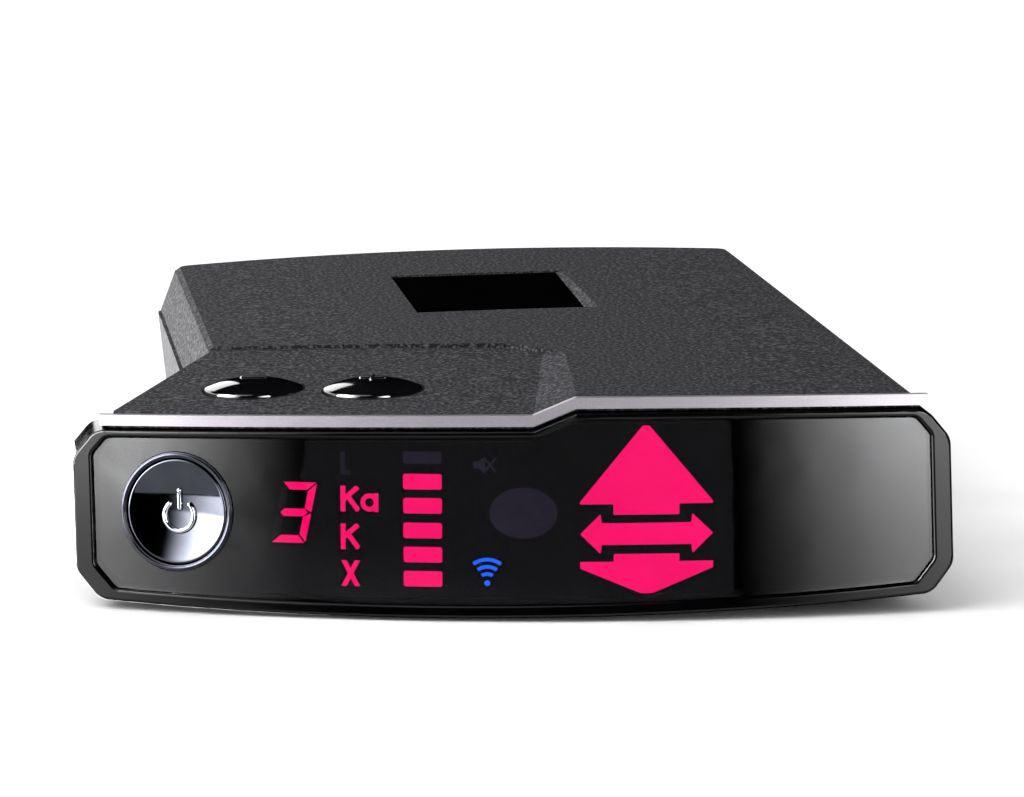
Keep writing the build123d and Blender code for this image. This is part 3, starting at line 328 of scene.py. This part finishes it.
def grid_piece(name: str, grid: np.ndarray, wrap: tuple[bool, bool],
               material: bpy.types.Material) -> bpy.types.Object:
    """Mesh a grid of points with quads; rows that shrink to a point become poles.

    Args:
        name: Piece's name.
        grid: Points, as rows by columns by 3.
        wrap: Whether the rows, and the columns, close on themselves.
        material: Material of the piece.

    Returns:
        Object at the origin with its place in its mesh.
    """
    rows, columns = grid.shape[:2]
    index = np.arange(rows * columns).reshape(rows, columns)
    if wrap[0]:
        index = np.vstack([index, index[:1]])
    if wrap[1]:
        index = np.hstack([index, index[:, :1]])
    quads = np.stack([index[:-1, :-1], index[1:, :-1], index[1:, 1:], index[:-1, 1:]], axis=-1).reshape(-1, 4)
    mesh = bpy.data.meshes.new(name)
    mesh.from_pydata(grid.reshape(-1, 3).tolist(), [], quads.tolist())
    work = bmesh.new()
    work.from_mesh(mesh)
    bmesh.ops.remove_doubles(work, verts=work.verts, dist=1e-7)
    bmesh.ops.recalc_face_normals(work, faces=work.faces)
    work.to_mesh(mesh)
    work.free()
    mesh.polygons.foreach_set("use_smooth", [True] * len(mesh.polygons))
    mesh.materials.append(material)
    piece = bpy.data.objects.new(name, mesh)
    bpy.context.scene.collection.objects.link(piece)
    LOG.info("%s: %d faces", name, len(mesh.polygons))
    return piece


def round_path(corners: list[tuple[float, float, float]], steps: int = 6) -> np.ndarray:
    """Plane path through corners, each rounded by a quadratic curve that starts a given length before it.

    Args:
        corners: Distance across, level, and rounding length of each corner.
        steps: Points on each rounding.

    Returns:
        Path's points as rows of two.
    """
    points = np.array([c[:2] for c in corners], float)
    path = [points[0]]
    t = np.linspace(0, 1, steps)[:, None]
    for i in range(1, len(points) - 1):
        here, size = points[i], corners[i][2]
        back = points[i - 1] - here
        on = points[i + 1] - here
        start = here + back / np.linalg.norm(back) * size
        end = here + on / np.linalg.norm(on) * size
        path.extend((1 - t) ** 2 * start + 2 * t * (1 - t) * here + t ** 2 * end)
    path.append(points[-1])
    return np.array(path)


def turned_piece(name: str, place: Place, profile: np.ndarray, finish: Finish, closed: bool = False,
                 steps: int = 96) -> bpy.types.Object:
    """Surface of revolution: each profile point goes round the axis at its radius and level.

    Args:
        name: Piece's name.
        place: Axis of the piece.
        profile: Rows of radius and level.
        finish: Finish of the piece.
        closed: Whether the profile is a loop, as a ring's is.
        steps: Points round the axis.

    Returns:
        The piece.
    """
    angle = np.linspace(0, 2 * pi, steps, endpoint=False)
    radius, level = profile[:, :1], profile[:, 1:]
    grid = place.at(radius * np.cos(angle), radius * np.sin(angle), level + 0 * angle)
    return grid_piece(name, grid, (closed, True), finish.build())


def ridge_piece(name: str, place: Place, path: np.ndarray, radius: float, finish: Finish,
                steps: int = 16) -> bpy.types.Object:
    """Round bead along a path, closed by a half-round nose at each end.

    A ring of points is set square to the path at each station; its radius falls to nothing at the
    ends as a circle's does.

    Args:
        name: Piece's name.
        place: Frame of the path.
        path: Rows of distance across, up and outwards.
        radius: Bead's radius.
        finish: Finish of the piece.
        steps: Points round the bead.

    Returns:
        The piece.
    """
    points = place.at(path[:, 0], path[:, 1], path[:, 2])
    run = np.gradient(points, axis=0)
    run /= np.linalg.norm(run, axis=1, keepdims=True)
    side = np.cross(run, place.out)
    side /= np.linalg.norm(side, axis=1, keepdims=True)
    lift = np.cross(side, run)
    far = np.concatenate([[0], np.cumsum(np.linalg.norm(np.diff(points, axis=0), axis=1))])
    end = np.clip(np.minimum(far, far[-1] - far) / radius, 0, 1)
    size = radius * np.sqrt(1 - (1 - end) ** 2)
    angle = np.linspace(0, 2 * pi, steps, endpoint=False)
    ring = side[:, None] * np.cos(angle)[:, None] + lift[:, None] * np.sin(angle)[:, None]
    return grid_piece(name, points[:, None] + size[:, None, None] * ring, (False, True), finish.build())


def finish_node(node: str, finish: Finish) -> None:
    """Give a CAD node its finish, and log it."""
    piece = frame["nodes"][node]
    piece.data.materials.clear()
    piece.data.materials.append(finish.build())
    LOG.info("%s: %s", node, finish.name)


# ------------------------------------------------------------------ sub-assemblies
@dataclass
class CastCase:
    """Castings, their trim, windows, screws and label."""

    finishes: dict = field(default_factory=lambda: {
        "top_case": POWDER_COAT_WITH_PAINTED_GLINTS, "bottom_case": POWDER_COAT_WITH_PAINTED_GLINTS, "bracket_channel": POWDER_COAT_WITH_PAINTED_GLINTS,
        "socket_panel": BLACK_ABS, "front_radome": RADOME,
        "top_window": WINDOW_GLOSS, "rating_label": LABEL_FILM, "brow_trim": SATIN_SILVER,
        "case_screws": BLACK_OXIDE, "earphone_jack": BLACK_ABS, "power_jack": BLACK_ABS,
        "power_jack_contacts": GOLD_FLASH, "mount_release_lever": BLACK_ABS,
        "release_lever_pin": DRAWN_STEEL, "release_spring": DRAWN_STEEL})

    def dress(self) -> None:
        """Give the nodes their finishes."""
        for node, finish in self.finishes.items():
            finish_node(node, finish)


@dataclass
class DisplayFace:
    """Bezel, smoked lens, mask and lit legends."""

    lit: tuple = ("counter_digit_lit", "band_legend_ka", "band_legend_k", "band_legend_x",
                  "strength_bars_lit", "arrow_ahead", "arrow_side", "arrow_behind")
    unlit: tuple = ("band_legend_l", "strength_bar_unlit", "mute_icon",
                    "light_sensor_window")

    def dress(self) -> None:
        """Give the nodes their finishes."""
        finish_node("face_bezel", PIANO_BLACK)
        finish_node("display_lens", SMOKED_ACRYLIC)
        finish_node("display_mask", PRINTED_FILM)
        finish_node("light_box", WHITE_MOULDING)
        finish_node("display_board", SOLDER_MASK)
        finish_node("display_leds", LED_PACKAGE)
        finish_node("wireless_icon", Lamp.BLUE.finish())
        # The unlit digit and the unlit legends carry a faint painted glow; no lamp lights them.
        finish_node("counter_digit_unlit", Lamp.DARK.finish())
        for node in self.lit:
            finish_node(node, Lamp.RED.finish())
        for node in self.unlit:
            finish_node(node, Lamp.DIM.finish())


@dataclass
class PowerKey:
    """Round key with a finger dish and a raised power sign, in a thin bright ring."""

    dish: float = 1.0 * MM
    rim_round: float = 0.22 * MM
    clearance: float = 0.15 * MM
    flange: float = 0.5 * MM
    flange_reach: float = 0.45 * MM
    sign_radius: float = 1.62 * MM
    sign_bead: float = 0.3 * MM
    sign_drop: float = 0.5 * MM
    sign_gap: float = radians(33)
    bar: tuple = (0.0, 2.45 * MM)
    ring_bead: float = 0.2 * MM

    def __post_init__(self) -> None:
        """Take the axis from the key's joint and its node."""
        press = next(j for j in frame["joints"] if j["name"] == "power_press")
        self.place = Place.on_node("power_button_ring", -np.array(press["axis"]), np.array((0, 0, 1.0)))
        _, self.low, self.high = reach("power_button", self.place)
        points = node_points("power_button_ring") - self.place.origin
        around = np.hypot(points @ self.place.right, points @ self.place.up)
        self.ring_inner, self.ring_outer = float(around.min()), float(around.max())
        self.radius = self.ring_inner - self.clearance

    def dish_level(self, radius: np.ndarray) -> np.ndarray:
        """Level of the dish: a parabola, deepest on the axis."""
        share = np.clip(radius / (self.radius - self.rim_round), 0, 1)
        return self.high - self.dish * (1 - share ** 2)

    def build(self) -> None:
        """Make the key, its sign and its ring."""
        radius = np.linspace(0, self.radius - self.rim_round, 28)
        dished = np.stack([radius, self.dish_level(radius)], axis=1)
        skirt = round_path([
            (self.radius - self.rim_round, self.high, 0),
            (self.radius, self.high, self.rim_round * 0.98),
            (self.radius, self.low + self.flange, CREASE),
            (self.radius + self.flange_reach, self.low + self.flange, CREASE),
            (self.radius + self.flange_reach, self.low, CREASE),
            (0, self.low, 0)])
        cap = turned_piece("power_key_cap", self.place, np.vstack([dished, skirt[1:]]), BLACK_CHROME)
        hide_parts("power_button")
        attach(cap, "power_button_body")
        for sign in (self.sign_ring(), self.sign_bar()):
            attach(sign, "power_button_body")
        self.build_ring()
        finish_node("power_button_plunger", BLACK_ABS)
        finish_node("power_switch", BLACK_ABS)

    def sign_ring(self) -> bpy.types.Object:
        """Broken ring of the power sign, laid on the dish."""
        angle = np.linspace(self.sign_gap, 2 * pi - self.sign_gap, 72)
        across, high = self.sign_radius * np.sin(angle), self.sign_radius * np.cos(angle) - self.sign_drop
        level = self.dish_level(np.hypot(across, high)) + self.sign_bead * 0.25
        return ridge_piece("power_sign_ring", self.place, np.stack([across, high, level], 1),
                           self.sign_bead, DARK_CHROME)

    def sign_bar(self) -> bpy.types.Object:
        """Upright bar of the power sign, laid on the dish."""
        high = np.linspace(*self.bar, 30)
        level = self.dish_level(high) + self.sign_bead * 0.25
        return ridge_piece("power_sign_bar", self.place, np.stack([0 * high, high, level], 1),
                           self.sign_bead, DARK_CHROME)

    def build_ring(self) -> None:
        """Make the ring: a flat seat with a round bead on its front."""
        _, low, high = reach("power_button_ring", self.place)
        middle = (self.ring_inner + self.ring_outer) / 2
        seat = high - self.ring_bead
        half = self.ring_bead * 0.75
        crease, crown = 0.04 * MM, half * 0.95
        loop = round_path([
            (self.ring_inner, low, 0), (self.ring_inner, seat, crease), (middle - half, seat, crease),
            (middle - half, high, crown), (middle + half, high, crown),
            (middle + half, seat, crease), (self.ring_outer, seat, crease), (self.ring_outer, low, 0)])
        ring = turned_piece("power_key_ring", self.place, loop, RING_CHROME, closed=True)
        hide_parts("power_button_ring")
        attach(ring, "case")


@dataclass
class VolumeKey:
    """Domed round key with a raised sign on its crown; strokes are line ends in millimetres."""

    side: str
    strokes: tuple
    shoulder: float = 0.3 * MM
    flange: float = 0.5 * MM
    dome: float = 1.1 * MM
    flange_high: float = 0.9 * MM
    bead: float = 0.2 * MM

    def __post_init__(self) -> None:
        """Take the axis and the sizes from the node."""
        self.node = f"volume_{self.side}_button"
        self.place = Place.on_node(self.node, np.array((0, 0, 1.0)), PAD_SIGNS_UP)
        reached, self.low, self.high = reach(self.node, self.place)
        self.radius = reached - self.flange
        self.sphere = (self.radius ** 2 + self.dome ** 2) / (2 * self.dome)

    def dome_level(self, radius: np.ndarray) -> np.ndarray:
        """Level of the dome: a sphere's cap."""
        return self.high - self.sphere + np.sqrt(self.sphere ** 2 - radius ** 2)

    def build(self) -> None:
        """Make the key and its sign."""
        radius = np.linspace(0, self.radius - self.shoulder, 24)
        crown = np.stack([radius, self.dome_level(radius)], axis=1)
        edge = float(self.dome_level(np.array(self.radius)))
        skirt = round_path([
            (radius[-1], crown[-1, 1], 0), (self.radius, edge, self.shoulder * 0.9),
            (self.radius, self.low + self.flange_high, CREASE),
            (self.radius + self.flange, self.low + self.flange_high, CREASE),
            (self.radius + self.flange, self.low, CREASE), (0, self.low, 0)])
        cap = turned_piece(f"volume_{self.side}_cap", self.place, np.vstack([crown, skirt[1:]]), KEY_GLOSS)
        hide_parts(self.node)
        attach(cap, f"volume_{self.side}_body")
        for i, (start, end) in enumerate(self.strokes):
            line = np.linspace(start, end, 30) * MM
            level = self.dome_level(np.hypot(line[:, 0], line[:, 1]))
            sign = ridge_piece(f"volume_{self.side}_sign_{i}", self.place,
                               np.column_stack([line, level]), self.bead, KEY_GLOSS)
            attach(sign, f"volume_{self.side}_body")
        finish_node(f"volume_{self.side}_plunger", BLACK_ABS)
        finish_node(f"volume_{self.side}_switch", BLACK_ABS)


@dataclass
class Electronics:
    """Boards, receiver, speaker and the small parts inside."""

    finishes: dict = field(default_factory=lambda: {
        "volume_board": SOLDER_MASK, "main_board": SOLDER_MASK, "front_antenna_horn": CAST_ZINC,
        "rear_antenna_horn": CAST_ZINC, "receiver_shield": TINPLATE, "processor": CHIP_EPOXY,
        "chips": CHIP_EPOXY, "wireless_module": TINPLATE, "top_laser_sensor": WINDOW_GLOSS,
        "front_laser_lenses": CLEAR_OPTIC, "laser_lens_holder": BLACK_ABS, "speaker": BLACK_ABS,
        "speaker_cone": PAPER_CONE, "display_cable": POLYIMIDE, "board_screws": DRAWN_STEEL})

    def dress(self) -> None:
        """Give the nodes their finishes."""
        for node, finish in self.finishes.items():
            finish_node(node, finish)


# ------------------------------------------------------------------ studio
@dataclass
class Card:
    """A curved panel of glow round the object, which only its gloss mirrors.

    Angles are in degrees: azimuth from -Y towards +X, elevation from the floor up.
    """

    name: str
    azimuths: tuple
    elevations: tuple
    glow: tuple
    rise: tuple = (-1.0, 3.0, 1.0, 1.0)
    distance: float = 1.6

    def build(self) -> None:
        """Make the panel as a patch of a sphere: azimuth runs along its columns, elevation up its rows."""
        swing, lift = np.meshgrid(np.linspace(*self.azimuths, 25), np.linspace(*self.elevations, 13))
        a, e = np.radians(swing), np.radians(lift)
        grid = self.distance * np.stack([np.sin(a) * np.cos(e), -np.cos(a) * np.cos(e), np.sin(e)], axis=-1)
        panel = grid_piece(self.name, grid, (False, False), self.material())
        for name, values in (("swing", swing), ("lift", lift)):
            layer = panel.data.attributes.new(name, "FLOAT", "POINT")
            layer.data.foreach_set("value", values.astype(np.float32).ravel())
        panel.visible_camera = False
        panel.visible_diffuse = False
        panel.visible_shadow = False

    def material(self) -> bpy.types.Material:
        """Glow that changes smoothly from side to side, and with height near the floor.

        Returns:
            Material of the panel.
        """
        material = bpy.data.materials.new(f"{self.name}_glow")
        material.use_nodes = True
        tree = material.node_tree
        tree.nodes.clear()
        smooth = {"interpolation_type": "SMOOTHSTEP"}
        swing = add_node(tree, "ShaderNodeAttribute", {"attribute_name": "swing"})
        lift = add_node(tree, "ShaderNodeAttribute", {"attribute_name": "lift"})
        across = add_node(tree, "ShaderNodeMapRange", smooth, {
            "Value": swing.outputs["Fac"], "From Min": self.azimuths[0], "From Max": self.azimuths[1],
            "To Min": self.glow[0], "To Max": self.glow[1]})
        upward = add_node(tree, "ShaderNodeMapRange", smooth, {
            "Value": lift.outputs["Fac"], "From Min": self.rise[0], "From Max": self.rise[1],
            "To Min": self.rise[2], "To Max": self.rise[3]})
        strength = add_node(tree, "ShaderNodeMath", {"operation": "MULTIPLY"}, {
            0: across.outputs["Result"], 1: upward.outputs["Result"]})
        glow = add_node(tree, "ShaderNodeEmission", inputs={
            "Color": (1, 1, 1, 1), "Strength": strength.outputs["Value"]})
        add_node(tree, "ShaderNodeOutputMaterial", inputs={"Surface": glow.outputs["Emission"]})
        return material


@dataclass
class Studio:
    """Pale floor, soft light, panels and the camera."""

    floor_radius: float = 6.0
    floor_gap: float = 0.02 * MM
    sun_from: tuple = (-0.56, -0.1, 0.77)
    camera_at: tuple = (-0.06005, -0.536, 0.1047)
    yaw: float = radians(7.07)
    pitch: float = radians(9.52)
    roll: float = radians(0.9)
    lens: float = 167.7
    cards: tuple = (
        Card("left_panel", (-95, -34), (-12, 55), (18, 0), (-1.5, 1.5, 0.9, 3.0)),
        Card("right_panel", (1, 32), (-12, 35), (0, 8), (0, 4.5, 1.0, 3.3)),
        Card("back_left_panel", (-178, -95), (8, 30), (2.6, 2.6)),
        Card("overhead_panel", (-100, -20), (66, 88), (2.0, 2.0)),
        Card("flank_panel", (-179, -115), (-45, -2), (11, 11)),
        Card("under_panel", (-110, 110), (-60, -13), (1.3, 1.3)),
    )

    def build(self) -> None:
        """Make the whole studio."""
        self.build_floor()
        for card in self.cards:
            card.build()
        self.build_sun()
        self.build_world()
        self.build_camera()

    def build_floor(self) -> None:
        """Round pale floor, a little below the underside so that nothing touches it twice."""
        angle = np.linspace(0, 2 * pi, 128, endpoint=False)
        radius = np.array([[0.0], [0.3], [1.0], [2.5], [self.floor_radius]])
        across, along = radius * np.cos(angle), radius * np.sin(angle)
        grid = np.stack([across, along, np.full_like(across, -self.floor_gap)], axis=-1)
        floor = grid_piece("studio_floor", grid, (False, True), PALE_FLOOR.build())
        floor.visible_glossy = False

    def build_sun(self) -> None:
        """Broad, soft key from the upper left, behind the object."""
        data = bpy.data.lights.new("soft_key", "SUN")
        data.energy = 1.5
        data.angle = radians(60)
        light = bpy.data.objects.new("soft_key", data)
        light.rotation_euler = (-Vector(self.sun_from)).to_track_quat("-Z", "Y").to_euler()
        bpy.context.scene.collection.objects.link(light)

    def build_world(self) -> None:
        """Even pale surround; gloss mirrors the panels instead of it."""
        world = bpy.data.worlds.new("pale_surround")
        world.use_nodes = True
        background = world.node_tree.nodes["Background"]
        background.inputs["Color"].default_value = linear("#ffffff")
        background.inputs["Strength"].default_value = 0.9
        world.cycles_visibility.glossy = False
        bpy.context.scene.world = world
        bpy.context.scene.view_settings.view_transform = "Standard"

    def build_camera(self) -> None:
        """Camera from the front, a little to the left and above."""
        ahead = Vector((sin(self.yaw) * cos(self.pitch), cos(self.yaw) * cos(self.pitch), -sin(self.pitch)))
        level = Vector((cos(self.yaw), -sin(self.yaw), 0))
        upright = level.cross(ahead)
        right = level * cos(self.roll) - upright * sin(self.roll)
        up = upright * cos(self.roll) + level * sin(self.roll)
        data = bpy.data.cameras.new("camera")
        data.sensor_width = 36
        data.lens = self.lens
        data.clip_start = 0.01
        data.clip_end = 50
        camera = bpy.data.objects.new("camera", data)
        turn = Matrix((right, up, -ahead)).transposed().to_4x4()
        camera.matrix_world = Matrix.Translation(self.camera_at) @ turn
        bpy.context.scene.collection.objects.link(camera)
        bpy.context.scene.camera = camera


def main() -> None:
    """Build the sub-assemblies in order, then the studio."""
    logging.basicConfig(level=logging.INFO, format="%(name)s %(message)s")
    CastCase().dress()
    DisplayFace().dress()
    PowerKey().build()
    level_stroke = ((-1.5, 0.0), (1.5, 0.0))
    upright_stroke = ((0.0, -1.5), (0.0, 1.5))
    VolumeKey("down", (level_stroke,)).build()
    VolumeKey("up", (level_stroke, upright_stroke)).build()
    Electronics().dress()
    Studio().build()


if __name__ == "__main__":
    main()
